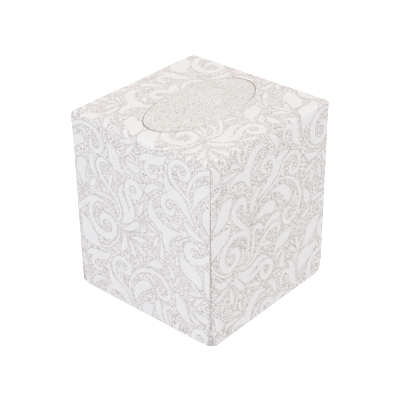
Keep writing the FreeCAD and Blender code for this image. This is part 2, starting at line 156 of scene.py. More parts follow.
# The shapes of one repeat of the print: scrolls, leaves and sprays of a traditional foliate
# pattern, in millimetres across and down. A stem is a line of points with the width at each;
# a leaf is the outline of a closed shape.
PRINT_SHAPES = {
    "spray leaf out": [(19.5, 80, .3), (14, 82, 3.2), (9, 81.5, 4.8), (4.8, 78.8, 2.5)],
    "spray leaf low 1": [(15.6, 85.4, .3), (12, 87.2, 2.4), (8, 89.2, 3.2), (4.3, 90, 2)],
    "spray leaf low 2": [(7, 92.5, .3), (4.5, 95.3, 2), (1.6, 96.8, 1.2)],
    "spray leaf low 3": [(14.4, 89.6, .3), (12, 94, 2.6), (9.3, 98.5, 2.8)],
    "spray leaf low 4": [(17.2, 87, .3), (18, 92, 2.8), (18.7, 96.3, 4), (19.2, 98.8, 3)],
    "spray leaf low 5": [(20.6, 80.6, .4), (22.8, 86, 3.4), (26, 90.2, 4.5), (29, 93.3, 3.2)],
    "spray leaf low 6": [(24.3, 95.5, .8), (26.3, 97.8, 3), (27.5, 99.8, 2.2)],
    "spray drop": [(14, 98, .3), (14, 101, 1.6), (14.1, 103.6, 1.9)],
    "upper spray 1": [(27.3, 9.5, .3), (25, 5, 2.2), (23.7, 1.3, 2.6)],
    "upper spray 2": [(28, 9, .5), (28.6, 5, 2), (30.6, 1.4, 2.2)],
    "upper spray 3": [(26, 9.8, .3), (22, 7.6, 2.6), (18.4, 6.5, 2.6)],
    "upper spray 4": [(22, 4.2, .3), (19.7, 2.9, 1.4), (17.3, 1.8, .6)],
    "upper spray 5": [(24.5, 11.3, .3), (18, 12, 2.6), (12.3, 12, 3.4)],
    "slim leaf low": [(33.8, 93.5, .3), (38, 96, 2.4), (42, 97.3, 3), (45.5, 99.5, .5)],
    "slim leaf beside scroll": [(36.3, 46.5, .3), (36.5, 41, 3), (38.5, 36, 4.6), (42.3, 31.3, 3.6)],
    "hook inner leaf": [(41.3, 14.2, 2.2), (38.5, 17, 2.2), (36.6, 20, .5)],
    "small crescent right": [(77.9, 46.8, .4), (78.4, 50.2, 2), (76.7, 53.5, 2.4), (74.6, 55.6, .3)],
    "slim leaf mid": [(46, 71.5, .5), (51, 72.4, 3), (56.5, 74.8, .8)],
    "thin leaf left": [(8.5, 25.2, .3), (12.7, 23.6, 1.6), (16, 23.8, 1.6), (18.7, 25.3, .3)],
    "left edge leaf": [(1.5, 20.5, 3), (5, 19, 3.4), (9, 15.5, .5)],
    "tail crescent": [(69.2, 83.1, .3), (65, 85, 2), (62, 88, 2.8), (61.2, 89.8, 1.5)],
    "fan leaf 1": [(81.2, 82.3, 1), (82.2, 87.5, 3), (84, 95, .3)],
    "fan leaf 2": [(75.5, 82, 1), (77, 84.5, 1.8), (79, 86.8, .4)],
    "fan leaf 3": [(74.5, 87.5, 2.4), (78, 90, 3), (82, 94.5, .4)],
    "fan leaf 4": [(85.9, 80.4, 1.2), (84.7, 84, .8)],
    "fan leaf 5": [(88.3, 85.6, 2.8), (85.8, 88, 2.6), (84.5, 92, .4)],
    "scroll side leaf": [(83.5, 32.5, 1.4), (86, 33.5, 2.4), (89, 34.5, .4)],
    "thin arc left": [(.3, 60, .8), (.8, 63.1, 1.1), (2.3, 67.3, 1.2), (4.8, 70.6, 1.3), (8.1, 73.9, 1.4),
                      (11.8, 76.2, 1.5), (16, 77.3, 1.3), (20, 77.5, .5)],
    "ring": [(81.3, 78.5, .8), (81.6, 76.4, 1.3), (82.5, 74.3, 1.3), (84.6, 73.3, 1.3), (87.2, 74, 1.3),
             (88.6, 75.8, 1.3), (88.2, 78.3, 1.2), (86.3, 79, .8)],
    "drop": [(69.6, 86), (66.7, 88.1), (64.2, 92.7), (65.4, 97.3), (67.9, 97.7), (69.2, 94.3), (69.2, 90.2)],
    "left edge drop": [(.2, -1.1), (4.3, 1.8), (7.3, 4.8), (8.5, 8.1), (7.3, 11), (5.2, 12.3), (2.7, 9.8),
                       (1.8, 5.6), (1.4, 2.3)],
    "big leaf upper": [(18.8, 26), (12.7, 26.8), (9.8, 28.1), (6.8, 31.8), (5.2, 36), (2.3, 42.3),
                       (8.5, 43), (12.7, 40.6), (15.6, 36.8), (16.8, 32.7), (18.1, 29.8)],
    "big leaf lower": [(18.1, 44.8), (12.7, 45.2), (4.3, 45.2), (.2, 46.8), (-1.5, 50.2), (-1.9, 54.3),
                       (-1.1, 58.5), (.2, 60.2), (3.1, 58.5), (6.8, 57.3), (10.2, 54.8), (13.5, 53.1),
                       (16, 49.8), (17.3, 46.8)],
    "curved leaf": [(55, 38.3), (59.6, 37.5), (65, 37.9), (69.2, 40.2), (72.1, 43.5), (73.8, 46.8),
                    (74, 50.2), (71.7, 52.5), (69.2, 51), (67.5, 48), (65.4, 45.6), (62.9, 42.7),
                    (59.6, 40.6), (56.7, 39.3)],
    "plump leaf": [(40.2, 50.2), (44.3, 47.3), (46.8, 45.2), (50.6, 43.9), (55.2, 44.5), (58.1, 46.4),
                   (58.9, 48.9), (58.1, 51.4), (56.8, 53.1), (52.7, 52.3), (48.5, 51), (44.3, 51)],
    "mid leaf": [(48.6, 62.2), (51, 57.7), (54.8, 55.6), (59.3, 55), (62.5, 55.2), (64.6, 57.7),
                 (63.7, 59.3), (59.6, 59.8), (55.4, 59.8), (52.5, 61)],
    "sickle leaf": [(76.3, 71), (72.1, 72.3), (65.8, 72.7), (62.1, 75.2), (59.6, 78.9), (58.8, 82.7),
                    (57.5, 86), (60.4, 84.3), (62.5, 82.3), (67.9, 81), (72.1, 79.3), (74.6, 76.8),
                    (75.8, 73.9)],
    "flame": [(50.5, 6), (46, 2.6), (41, 1.5), (36.5, 3), (33, 6.5), (30.3, 10.5), (29.5, 12.8),
              (25, 13.2), (20.5, 14.2), (17.3, 17), (17.2, 21), (19.5, 18.3), (24, 18), (28.5, 20),
              (32, 24), (34.7, 28.3), (34.9, 20), (36.2, 13.5), (39, 8.8), (43, 5.6), (47, 5)],
    "tall leaf": [(71.7, -4), (76.2, -1.9), (78.3, 2.3), (79.2, 6.4), (79.6, 10.6), (80.4, 14.8),
                  (82.9, 18.1), (84.2, 19.3), (80.4, 17.7), (77.9, 16.4), (75, 13.9), (73.3, 10.6),
                  (73.1, 8), (72.5, 5), (74, 2.9), (73.7, 1)],
    "upper ring": [(67.9, 11, .4), (65.3, 8, 2.4), (65.2, 4.5, 3), (67, 2, 3), (70, 1.7, 3), (73.5, 4, 4)],
    "wave leaf": [(24.6, 80.4, 1), (29.5, 84, 4), (35.5, 84.3, 5), (41, 82, 4.6), (46, 80.3, 3.6),
                  (50, 81.6, 1.8), (52.6, 83.2, .2)],
    "wave stem": [(25.2, 81.5, 1.5), (29, 86, 4), (33.5, 89.2, 4.4), (38.5, 89.5, 3.8), (42.8, 87.6, 3.4),
                  (47, 86, 3.4), (52, 86, 3.5), (56, 89.2, 4), (55.8, 93.8, 4.2), (52, 96.5, 4.4),
                  (48, 94.8, 3.9), (47, 91, 3.2), (48.6, 88.2, 1.2)],
    "hook stem": [(24.5, 77.6, .8), (30, 79.6, 1.6), (36, 79, 2.1), (41.5, 75, 2.4), (45.6, 70.8, 2.4),
                  (49, 67, 2.5), (53, 63.9, 2.8), (58, 62.6, 3.2), (62, 64.3, 3), (63.2, 67.8, 2.6),
                  (61.5, 70.6, 1.8), (59, 71.5, .3)],
    "arch": [(24.3, 76.6, .6), (29.5, 77.6, 1.4), (34.5, 76.2, 1.8), (37.5, 72.8, 1.9), (38.5, 68, 2.1),
             (38.6, 62, 2.4), (39.2, 57.5, 2.6), (41.5, 56, 3), (44.3, 57, 3.5), (46.5, 59, 2.4),
             (48.2, 61.2, .3)],
    "great arc": [(36.5, 49.5, .6), (40, 44.8, 1.2), (46, 39.3, 1.5), (52, 36.2, 1.6), (59.6, 33.6, 1.5),
                  (65, 33.7, 1.5), (69.2, 34.9, 1.8), (74.6, 38.2, 2.2), (77.9, 41.2, 2.5),
                  (80.4, 44.5, 2.5), (82, 48.2, 2.6), (83, 52, 2.6), (82.8, 57, 2.8), (81.5, 61.3, 2.8),
                  (78.6, 64.8, 3), (74.6, 66.9, 3), (70.8, 66.9, 3.2), (68.2, 64.8, 3.3),
                  (67.3, 61.3, 3.2), (68.2, 58.6, 3), (70.4, 57.4, 3), (72.9, 57.6, 2), (75, 59.1, .3)],
    "top scroll": [(49, 22.6, 2.5), (46.3, 20.8, 3.4), (45.7, 17, 3.5), (50.6, 14, 4), (55.5, 16.5, 3.6),
                   (56.8, 22, 3.5), (55.5, 27.5, 5), (51, 31.5, 4), (46.5, 35, 2.5), (43, 38.7, .3)],
    "top crescent": [(53.2, 1.2, 3), (57, 4.5, 4.2), (59, 9, 2.6), (58.8, 14.3, .3)],
    "scroll arm": [(70.8, 17.2), (67.9, 16), (65, 15.4), (60.8, 16.4), (58.3, 18.5), (57.4, 22.5),
                   (56, 27), (52.5, 30.5), (47.5, 34.2), (44.3, 36.8), (53.3, 33.5), (56.7, 31.8),
                   (59.6, 29.3), (61.3, 26.8), (63.3, 22.7), (65, 19.8), (67.9, 18.1)],
    "right scroll": [(55, 34.6, .8), (59.2, 32.6, 1.8), (62, 29.3, 2.2), (64.2, 26.4, 2.4),
                     (66.7, 22.7, 2.6), (70, 20.8, 2.9), (73.8, 20.2, 2.9), (77.3, 21.2, 2.9),
                     (80.3, 24, 2.9), (81.5, 27.5, 3), (80.8, 31.5, 3.2), (78.5, 34, 3.4),
                     (75.5, 34.3, 3.4), (72.7, 32.3, 3.3), (72.2, 29.3, 3), (73.2, 27.4, 2.4),
                     (75, 26.4, 2), (77.3, 26.8, .5)],
    "nested crescent": [(28.6, 65.2, .5), (29, 68.5, 2.3), (27.8, 71.8, 1.6), (25.3, 74.2, .4)],
    "great spiral": [(33.8, 60, 1.5), (30.5, 56, 3), (26, 53.8, 3.4), (20.5, 53.4, 3.6), (15, 55.6, 4.2),
                     (11, 60, 5), (9.9, 66, 5.2), (12, 71.5, 4.6), (17, 73.8, 4), (21.5, 72.5, 4.2),
                     (24, 68, 4.6), (22.7, 63.8, 4), (19.2, 62.4, 3), (14.8, 64.4, .3)],
    "upper scroll stem": [(30, 39.8, 3), (30.4, 35.5, 3.4), (27.5, 32.3, 4.6), (23, 32.6, 5),
                          (20.3, 36, 4.8), (21, 41, 4.2), (24, 45.2, 3.8), (28, 49.5, 3.4),
                          (31.6, 53.5, 3.4), (33.6, 58.5, 3.2), (33.8, 64, 2.2), (32.3, 69.5, 1.8),
                          (29, 73.6, 1.4), (25, 75.2, .8)],
    "scroll contour": [(22.7, 26.6, .6), (26.8, 26.4, 1.1), (30.6, 28.6, 1.1), (32.8, 32.3, 1),
                       (33.6, 35, .4)],
}


def smooth_curve(points, closed):
    """Points about CURVE_STEP apart on a smooth curve through the given ones, in which a longer
    gap takes more of the curve. Any third number, a stem's width, is carried along."""
    given = np.array(points, float)
    count = len(given)
    curve = []
    for i in range(count if closed else count - 1):
        start, end = given[i], given[(i + 1) % count]
        before = given[i - 1] if closed or i > 0 else 2 * start - end
        after = given[(i + 2) % count] if closed or i + 2 < count else 2 * end - start
        knots = [0.0]
        for one, two in ((before, start), (start, end), (end, after)):
            knots.append(knots[-1] + max(math.dist(one[:2], two[:2]) ** 0.5, 1e-4))
        pieces = max(1, round(math.dist(start[:2], end[:2]) / CURVE_STEP))
        for j in range(pieces):
            t = knots[1] + (knots[2] - knots[1]) * j / pieces
            lines = []
            for k, (one, two) in enumerate(((before, start), (start, end), (end, after))):
                share = (t - knots[k]) / (knots[k + 1] - knots[k])
                lines.append(one + (two - one) * share)
            first = lines[0] + (lines[1] - lines[0]) * (t - knots[0]) / (knots[2] - knots[0])
            second = lines[1] + (lines[2] - lines[1]) * (t - knots[1]) / (knots[3] - knots[1])
            curve.append(first + (second - first) * (t - knots[1]) / (knots[2] - knots[1]))
    if not closed:
        curve.append(given[-1])
    return np.array(curve)


def stem_outline(points, extra):
    """The outline of a stem of varying width with round ends, made extra wider on each side."""
    curve = smooth_curve(points, closed=False)
    line = curve[:, :2]
    half = np.maximum(curve[:, 2] / 2, LEAST_HALF_WIDTH) + extra
    along = np.gradient(line, axis=0)
    along /= np.linalg.norm(along, axis=1)[:, None]
    across = np.stack((-along[:, 1], along[:, 0]), 1)

    def round_end(i, side):
        turn = math.atan2(side * across[i, 1], side * across[i, 0])
        steps = max(2, int(half[i] * 2 / CURVE_STEP) + 1)
        angles = turn - math.pi * np.arange(1, steps + 1) / (steps + 1)
        return line[i] + half[i] * np.stack((np.cos(angles), np.sin(angles)), 1)

    left = line + across * half[:, None]
    right = line - across * half[:, None]
    return np.vstack((left, round_end(-1, 1), right[::-1], round_end(0, -1)))


def leaf_outline(points, extra):
    """The outline of a leaf, moved outwards by extra."""
    curve = smooth_curve(points, closed=True)
    along = np.roll(curve, -1, 0) - np.roll(curve, 1, 0)
    along /= np.linalg.norm(along, axis=1)[:, None]
    out = np.stack((along[:, 1], -along[:, 0]), 1)
    after = np.roll(curve, -1, 0)
    area = np.sum(curve[:, 0] * after[:, 1] - after[:, 0] * curve[:, 1])
    return curve + out * extra * np.sign(area)


def printed_shapes():
    """Every printed shape that falls on the blank, as pairs of its outline and the outline of
    the dark line round it, measured from the middle of the top, x right and y to the front."""
    shapes = []
    for points in PRINT_SHAPES.values():
        draw = stem_outline if len(points[0]) == 3 else leaf_outline
        shapes.append((draw(points, 0.0), draw(points, OUTLINE_WIDTH)))
    reach = FRONT_WALL_END + FOOT_ARC + PRINT_BLEED
    placed = []
    # more copies than the blank needs, of which those that miss it are left out
    for across in range(-5, 6):
        for down in range(-6, 6):
            move = PRINT_ORIGIN + REPEAT_ACROSS * across + REPEAT_DOWN * down
            for shape, edge in shapes:
                far = np.abs(edge + move)
                on_the_cross = far.min(1) < GLUE_FLAP_END
                if np.any(on_the_cross & (far.max(1) < reach)):
                    placed.append((shape + move, edge + move))
    return placed


def inside(points, outline):
    """Which points lie inside the outline."""
    found = np.zeros(len(points), bool)
    low, high = outline.min(0), outline.max(0)
    close = np.nonzero(np.all((points > low) & (points < high), axis=1))[0]
    x, y = points[close].T
    crossings = np.zeros(len(close), bool)
    for (x1, y1), (x2, y2) in zip(outline, np.roll(outline, -1, 0)):
        spans = (y1 > y) != (y2 > y)
        if y1 != y2:
            crossings ^= spans & (x < (x2 - x1) * (y - y1) / (y2 - y1) + x1)
    found[close] = crossings
    return found


def half_panel_edge(side_panel):
    """The right-hand edge of one panel of the blank, from the top to the end of its bottom flap,
    as (distance across, distance out from the middle of the top)."""
    edge = []
    if side_panel:
        limit, wall_end = HALF - SETBACK_TOP, SIDE_WALL_END
    else:
        limit, wall_end = FRONT_HALF_WIDTH, FRONT_WALL_END
    for angle in np.radians(np.arange(0, 91, 90 / FOLD_STEPS)):
        across = TOP_FLAT + TOP_RADIUS * math.sin(angle)
        if side_panel and angle > 0:
            across -= MITRE_GAP
        across = min(across, limit)
        edge.append((across, TOP_FLAT + TOP_RADIUS * angle))
    if side_panel:
        for setback, above in SETBACKS:
            edge.append((HALF - setback, wall_end - above))
        foot, first_step = HALF - SETBACK_FOOT, 1
    else:
        edge.append((limit, WALL_START + GLUE_FLAP_DROP))
        edge.append((GLUE_FLAP_END, WALL_START + GLUE_FLAP_DROP + GLUE_FLAP_TAPER))
        edge.append((GLUE_FLAP_END, wall_end - GLUE_FLAP_LIFT - GLUE_FLAP_TAPER))
        edge.append((GLUE_FLAP_FOOT_END, wall_end - GLUE_FLAP_LIFT))
        edge.append((limit, wall_end - GLUE_FLAP_LIFT / 2))
        foot, first_step = limit, 0
    for step in range(first_step, FOLD_STEPS + 1):
        narrower = FLAP_STEP_IN * step / FOLD_STEPS
        edge.append((foot - narrower, wall_end + FOOT_ARC * step / FOLD_STEPS))
    if side_panel:
        flap_end = wall_end + FOOT_ARC + INNER_FLAP_LENGTH
        edge.append((foot - INNER_FLAP_NARROWING[0], flap_end - INNER_FLAP_CORNER))
        edge.append((foot - INNER_FLAP_NARROWING[1], flap_end))
    return edge


def onto_panel(panel, across, out):
    """The place on the blank of a point of one panel, given by how far it lies across the panel
    and out from the middle of the top."""
    return {
        "front": (across, out),
        "right": (out, -across),
        "back": (-across, -out),
        "left": (-out, across),
    }[panel]


def blank_outline():
    """The outline of the whole blank, once round, from the middle of the top."""
    flap_ends = {
        "front": FRONT_WALL_END + FOOT_ARC + FOOT_FLAT + SLIT_BEHIND_MIDDLE - SLIT_HALF,
        "back": FRONT_WALL_END + FOOT_ARC + FOOT_FLAT - SLIT_BEHIND_MIDDLE - SLIT_HALF,
    }
    outline = []
    for panel in ("front", "right", "back", "left"):
        edge = half_panel_edge(panel in ("left", "right"))
        if panel in flap_ends:
            edge.append((edge[-1][0], flap_ends[panel]))
        for across, out in [(-across, out) for across, out in edge] + edge[::-1]:
            outline.append(onto_panel(panel, across, out))
    return outline


def oval(half_length, half_width, count):
    """An oval round the middle of the top."""
    turns = np.linspace(0, 2 * math.pi, count, endpoint=False)
    return np.stack((half_length * np.cos(turns), half_width * np.sin(turns)), 1)


def panel_outline():
    """The panel's outline: the cut line's inner side, with the nicks that still join the board."""
    rim = oval(OPENING_HALF_LENGTH, OPENING_HALF_WIDTH, OVAL_POINTS * NICK_POINTS)
    panel = oval(PANEL_HALF_LENGTH, PANEL_HALF_WIDTH, OVAL_POINTS * NICK_POINTS)
    from_nick = np.abs(rim[:, :1] - np.array(NICK_PLACES)).min(1)
    nicked = from_nick < NICK_LENGTH / 2
    outline = []
    for i in range(len(rim)):
        changed = nicked[i] != nicked[i - 1]
        if changed:
            outline.append(rim[i] if nicked[i - 1] else panel[i])
        if changed or i % NICK_POINTS == 0:
            outline.append(rim[i] if nicked[i] else panel[i])
    return np.array(outline)


def wall_wave(along, z):
    """How far a wall sinks in, at most 0.35 mm, so its light isn't dead flat."""
    rise = np.clip((z - WAVE_MARGIN) / WAVE_RISE, 0, 1)
    rise = rise * np.clip((HEIGHT - WAVE_MARGIN - z) / WAVE_RISE, 0, 1)
    rise = rise * rise * (3 - 2 * rise)
    width = np.cos(np.clip(along / HALF, -1, 1) * math.pi / 2) ** 1.2
    # ripples 76 and 52 mm long
    ripple = 0.6 + 0.25 * np.sin(along * 0.071 + z * 0.043) + 0.15 * np.sin(z * 0.11 - along * 0.05)
    return WAVE_DEPTH * rise * width * ripple


def uneven(places):
    """The box was folded and filled by machine and handled since. Its edges wander in by up to
    0.12 mm. Its corners are pushed in each way by up to 2.5 mm at the front of the foot, 1.7 mm
    at the other foot corners and 1 mm at the top."""
    x, y, z = places.T
    half_height = HEIGHT / 2
    sides = ((x, HALF), (y, HALF), (z - half_height, half_height))
    near = [(np.abs(value) / half) ** 10 for value, half in sides]
    # ripples 22 and 10 mm long
    slow = np.sin(0.19 * x + 0.13 * y + 0.17 * z)
    fast = np.sin(0.41 * z - 0.37 * y + 0.31 * x)
    ripple = 0.5 + 0.25 * slow + 0.25 * fast
    moved = places.copy()
    for axis, (value, _) in enumerate(sides):
        others = [near[i] for i in range(3) if i != axis]
        share = near[axis] * np.minimum(others[0] + others[1], 1) * ripple
        moved[:, axis] -= np.sign(value) * EDGE_WANDER * share
    foot_reach = np.where((x < 0) & (y < 0), FRONT_FOOT_CORNER_REACH, FOOT_CORNER_REACH)
    foot_corners = (np.abs(z), foot_reach, FOOT_CORNER_RISE)
    top_corners = (np.abs(HEIGHT - z), TOP_CORNER_REACH, TOP_CORNER_REACH)
    for from_z, reach, rise in (foot_corners, top_corners):
        share = 1 - (HALF - np.abs(x)) / reach - (HALF - np.abs(y)) / reach - from_z / rise
        push = np.maximum(share, 0) * reach * CORNER_PUSH
        moved[:, 0] -= np.sign(x) * push
        moved[:, 1] -= np.sign(y) * push
    return moved


def blend_up(value, low, high):
    """0 below low, 1 above high, smooth between."""
    share = np.clip((value - low) / (high - low), 0, 1)
    return share * share * (3 - 2 * share)


def panel_of(flat):
    """0 for a point of the top, 1 for the front and back panels, 2 for the left and right."""
    x, y = np.abs(flat).T
    panel = np.zeros(len(flat), int)
    panel[(x > TOP_FLAT) & (x > y)] = 2
    # a left or right panel is never wider than the box, so what lies past that is a glue flap
    panel[(y > TOP_FLAT) & ((y >= x) | (y > HALF))] = 1
    return panel


def fold(flat, panel):
    """Folds points of the flat blank to where they are on the box."""
    side = panel == 2
    out = np.where(side, np.abs(flat[:, 0]), np.abs(flat[:, 1]))
    out = np.where(panel == 0, 0.0, out)
    across = np.where(side, flat[:, 1], flat[:, 0])
    wall_end = np.where(side, SIDE_WALL_END, FRONT_WALL_END)
    top_turn = np.clip((out - TOP_FLAT) / TOP_RADIUS, 0, math.pi / 2)
    foot_turn = np.clip((out - wall_end) / FOOT_RADIUS, 0, math.pi / 2)
    distance = np.minimum(out, TOP_FLAT) + TOP_RADIUS * np.sin(top_turn)
    z = HEIGHT - TOP_RADIUS * (1 - np.cos(top_turn))
    z = z - np.clip(out - WALL_START, 0, wall_end - WALL_START)
    z = z - FOOT_RADIUS * np.sin(foot_turn)
    distance = distance - FOOT_RADIUS * (1 - np.cos(foot_turn))
    distance = distance - np.maximum(out - wall_end - FOOT_ARC, 0)
    turn = top_turn + foot_turn
    # the glue flaps turn the upright corners of the front and back panels
    past = np.where(side | (panel == 0), 0.0, np.maximum(np.abs(across) - UPRIGHT_FLAT, 0))
    bent = blend_up(out, WALL_START - EASE_TOP, WALL_START)
    bent = bent * (1 - blend_up(out, wall_end, wall_end + EASE_FOOT))
    corner = np.clip(past / UPRIGHT_RADIUS, 0, math.pi / 2)
    width = np.minimum(np.abs(across), UPRIGHT_FLAT) + UPRIGHT_RADIUS * np.sin(corner)
    across_bent = np.sign(across) * (bent * width + (1 - bent) * np.abs(across))
    across = np.where(past > 0, across_bent, across)
    depth = UPRIGHT_RADIUS * (1 - np.cos(corner)) + np.maximum(past - UPRIGHT_ARC, 0)
    depth = np.where(past > 0, depth * bent, 0)
    distance = distance - depth * np.sin(turn)
    z = z - depth * np.cos(turn)
    # each wall sinks in a little, and the glue flaps go with the wall they lie behind
    facing = np.sin(turn) * np.cos(corner)
    sideways = np.sin(turn) * np.sin(corner)
    distance = distance - np.where(panel == 0, 0, facing) * wall_wave(across, z)
    across = across - np.sign(across) * sideways * wall_wave(distance, z)
    sign = np.where(side, np.sign(flat[:, 0]), np.sign(flat[:, 1]))
    x = np.where(side, sign * distance, across)
    y = np.where(side, -across, -sign * distance)
    x = np.where(panel == 0, flat[:, 0], x)
    y = np.where(panel == 0, -flat[:, 1], y)
    return uneven(np.stack((x, y, z), 1))


def face_direction(flat, panel):
    """The outward direction of the folded board at points of the blank."""
    step = 0.02
    here = fold(flat, panel)
    along_x = fold(flat + (step, 0), panel) - here
    along_y = fold(flat + (0, step), panel) - here
    direction = np.cross(along_y, along_x)
    return direction / np.linalg.norm(direction, axis=1)[:, None]


def inner_limit(flat, panel):
    """The inside of the board is kept short of the mitre that the top folds make at a corner."""
    limited = flat.copy()
    for number, out_axis in ((1, 1), (2, 0)):
        out = np.abs(flat[:, out_axis])
        turn = np.clip((out - TOP_FLAT) / TOP_RADIUS, 0, math.pi / 2)
        limit = TOP_FLAT - MITRE_GAP + (TOP_RADIUS - BOARD) * np.sin(turn)
        limit = limit + MITRE_END * (turn * 2 / math.pi) ** 8
        chosen = (panel == number) & (turn > 0) & (out < WALL_START + SAME_PLACE)
        across = flat[:, 1 - out_axis]
        clipped = np.clip(across, -limit, limit)
        limited[:, 1 - out_axis] = np.where(chosen, clipped, across)
    return limited


def cut_lines():
    """Lines drawn on the blank so that the mesh follows its folds, as pairs of points."""
    lines = []

    def draw(panel, one, two):
        lines.append((onto_panel(panel, *one), onto_panel(panel, *two)))

    def draw_across(panel, out, half):
        draw(panel, (-half, out), (half, out))

    for panel in ("front", "right", "back", "left"):
        side = panel in ("left", "right")
        wall_end = SIDE_WALL_END if side else FRONT_WALL_END
        edge = half_panel_edge(side)
        for i, (across, out) in enumerate(edge):
            in_foot_fold = wall_end - SAME_PLACE < out < wall_end + FOOT_ARC + SAME_PLACE
            if i <= FOLD_STEPS or in_foot_fold:
                draw_across(panel, out, across)
        flap_half = (HALF - SETBACK_FOOT if side else FRONT_HALF_WIDTH) - FLAP_STEP_IN
        draw_across(panel, wall_end + FOOT_ARC + PRINT_BLEED, flap_half)
        for out in np.arange(WALL_START + GRID, wall_end - GRID / 2, GRID):
            draw_across(panel, out, HALF if side else GLUE_FLAP_END + PAST_EDGE)
        for across in np.arange(-4, 5) * GRID:
            draw(panel, (across, WALL_START), (across, wall_end))
        if not side:
            start, end = WALL_START + LINE_END_GAP, wall_end - LINE_END_GAP
            for step in range(UPRIGHT_STEPS + 1):
                across = UPRIGHT_FLAT + UPRIGHT_ARC * step / UPRIGHT_STEPS
                draw(panel, (-across, start), (-across, end))
                draw(panel, (across, start), (across, end))
    return lines


def triangulate(loops, lines, shapes):
    """Triangles that follow the outline loops, the lines and the printed shapes."""
    points, edges = [], []

    def add_run(run, closed):
        first = len(points)
        points.extend(Vector((float(x), float(y))) for x, y in run)
        last = len(points)
        edges.extend((i, i + 1) for i in range(first, last - 1))
        if closed:
            edges.append((last - 1, first))

    for loop in loops:
        add_run(loop, True)
    for line in lines:
        add_run(line, False)
    for shape in shapes:
        add_run(shape, True)
    found = delaunay_2d_cdt(points, edges, [], 0, MERGE_DISTANCE, False)
    flat = np.array([tuple(p) for p in found[0]])
    triangles = np.array([tuple(f) for f in found[2]])
    return flat, triangles


def keep_inside(flat, triangles, loops):
    """Only the triangles inside the outer loop and outside any hole, turned to face out of the
    printed side, and the points that they use."""
    middle = flat[triangles].mean(1)
    keep = np.zeros(len(middle), bool)
    for loop in loops:
        keep ^= inside(middle, np.array(loop))
    triangles = triangles[keep]
    one, two, three = (flat[triangles[:, i]] for i in range(3))
    area = np.cross(two - one, three - one)
    large = np.abs(area) > LEAST_AREA
    triangles, area = triangles[large], area[large]
    triangles[area > 0] = triangles[area > 0][:, ::-1]
    used = np.unique(triangles)
    place = np.full(len(flat), -1)
    place[used] = np.arange(len(used))
    return flat[used], place[triangles]


def open_edges(triangles):
    """The edges that only one triangle has, in that triangle's direction."""
    sides = np.vstack((triangles[:, (0, 1)], triangles[:, (1, 2)], triangles[:, (2, 0)]))
    known = set(map(tuple, sides))
    return [(i, j) for i, j in known if (j, i) not in known]


def chains(edges):
    """The open edges joined end to end into loops."""
    after = {}
    for i, j in edges:
        after.setdefault(i, []).append(j)
    loops = []
    while after:
        start = next(iter(after))
        loop, here = [start], after[start].pop()
        if not after[start]:
            del after[start]
        while here != start:
            loop.append(here)
            there = after[here].pop()
            if not after[here]:
                del after[here]
            here = there
        loops.append(loop)
    return loops


def ink_of(flat, triangles, shapes, bleed):
    """What is printed on each triangle."""
    middle = flat[triangles].mean(1)
    ink = np.full(len(middle), GROUND)
    for shape, edge in shapes:
        near = inside(middle, edge)
        ink[near & (ink == GROUND)] = OUTLINE
    for shape, edge in shapes:
        ink[inside(middle, shape)] = ORNAMENT
    if bleed is None:
        # the nicks are scored across, so that the cut line runs on over them
        past = (middle[:, 0] / PANEL_HALF_LENGTH) ** 2 + (middle[:, 1] / PANEL_HALF_WIDTH) ** 2
        ink[past > 1] = CUT
    else:
        far = np.abs(middle)
        panel = panel_of(middle)
        out = np.where(panel == 2, far[:, 0], far[:, 1])
        wall_end = np.where(panel == 2, SIDE_WALL_END, FRONT_WALL_END)
        across = np.where(panel == 2, far[:, 1], far[:, 0])
        # a glue flap's own print, with painted shade on it, starts halfway round the upright corner
        ink[(panel == 1) & (across > UPRIGHT_FLAT + UPRIGHT_ARC / 2)] = FLAP
        ink[(panel > 0) & (out > wall_end + FOOT_ARC + bleed)] = BARE
    return ink


def board_piece(name, outer, hole, lines, shapes, bleed):
    """One sheet of printed board: the printed skin, the plain skin under it and the raw edges
    between them, folded to its place, with its print written on each face."""
    loops = [outer] + ([hole] if hole is not None else [])
    outlines = [line for pair in shapes for line in pair]
    flat, triangles = triangulate(loops, lines, outlines)
    flat, triangles = keep_inside(flat, triangles, loops)
    rim_edges = open_edges(triangles)
    rims = [flat[rim] for rim in chains(rim_edges)]
    inner_flat, inner_triangles = triangulate(rims, lines, [])
    inner_flat, inner_triangles = keep_inside(inner_flat, inner_triangles, rims)

    panel = panel_of(flat)
    inner_panel = panel_of(inner_flat)
    short = inner_limit(inner_flat, inner_panel)
    inner_direction = face_direction(short, inner_panel)
    places = np.vstack((fold(flat, panel), fold(short, inner_panel) - BOARD * inner_direction))
    directions = np.vstack((face_direction(flat, panel), -inner_direction))

    # each raw edge joins a rim edge to the points of the plain skin that lie under it
    count = len(flat)
    below = kdtree.KDTree(len(inner_flat))
    for i, (x, y) in enumerate(inner_flat):
        below.insert((x, y, 0), i)
    below.balance()
    raw_edges = []
    for i, j in rim_edges:
        low_i, low_j = (below.find((*flat[k], 0))[1] for k in (i, j))
        raw_edges.append((int(j), int(i), low_i + count, low_j + count))

    mesh = bpy.data.meshes.new(name)
    plain = inner_triangles[:, ::-1] + count
    mesh.from_pydata((places * MM).tolist(), [], triangles.tolist() + plain.tolist() + raw_edges)
    rim_middle = flat[np.array(rim_edges)].mean(1)
    at_cut = np.sum((rim_middle / ROUND_THE_CUT) ** 2, axis=1) < 1
    values = np.concatenate((
        ink_of(flat, triangles, shapes, bleed),
        np.full(len(plain), BARE),
        np.where(at_cut, CUT, BARE),
    ))
    marks = mesh.attributes.new("ink", "FLOAT", "FACE")
    marks.data.foreach_set("value", values.astype(np.float32))

    corner_points = np.empty(len(mesh.loops), int)
    mesh.loops.foreach_get("vertex_index", corner_points)
    write_normals(mesh, places, directions, corner_points, 3 * (len(triangles) + len(plain)))
    write_layout(mesh, np.vstack((flat, inner_flat)), corner_points, 3 * len(triangles))
    piece = bpy.data.objects.new(name, mesh)
    bpy.context.scene.collection.objects.link(piece)
    return piece


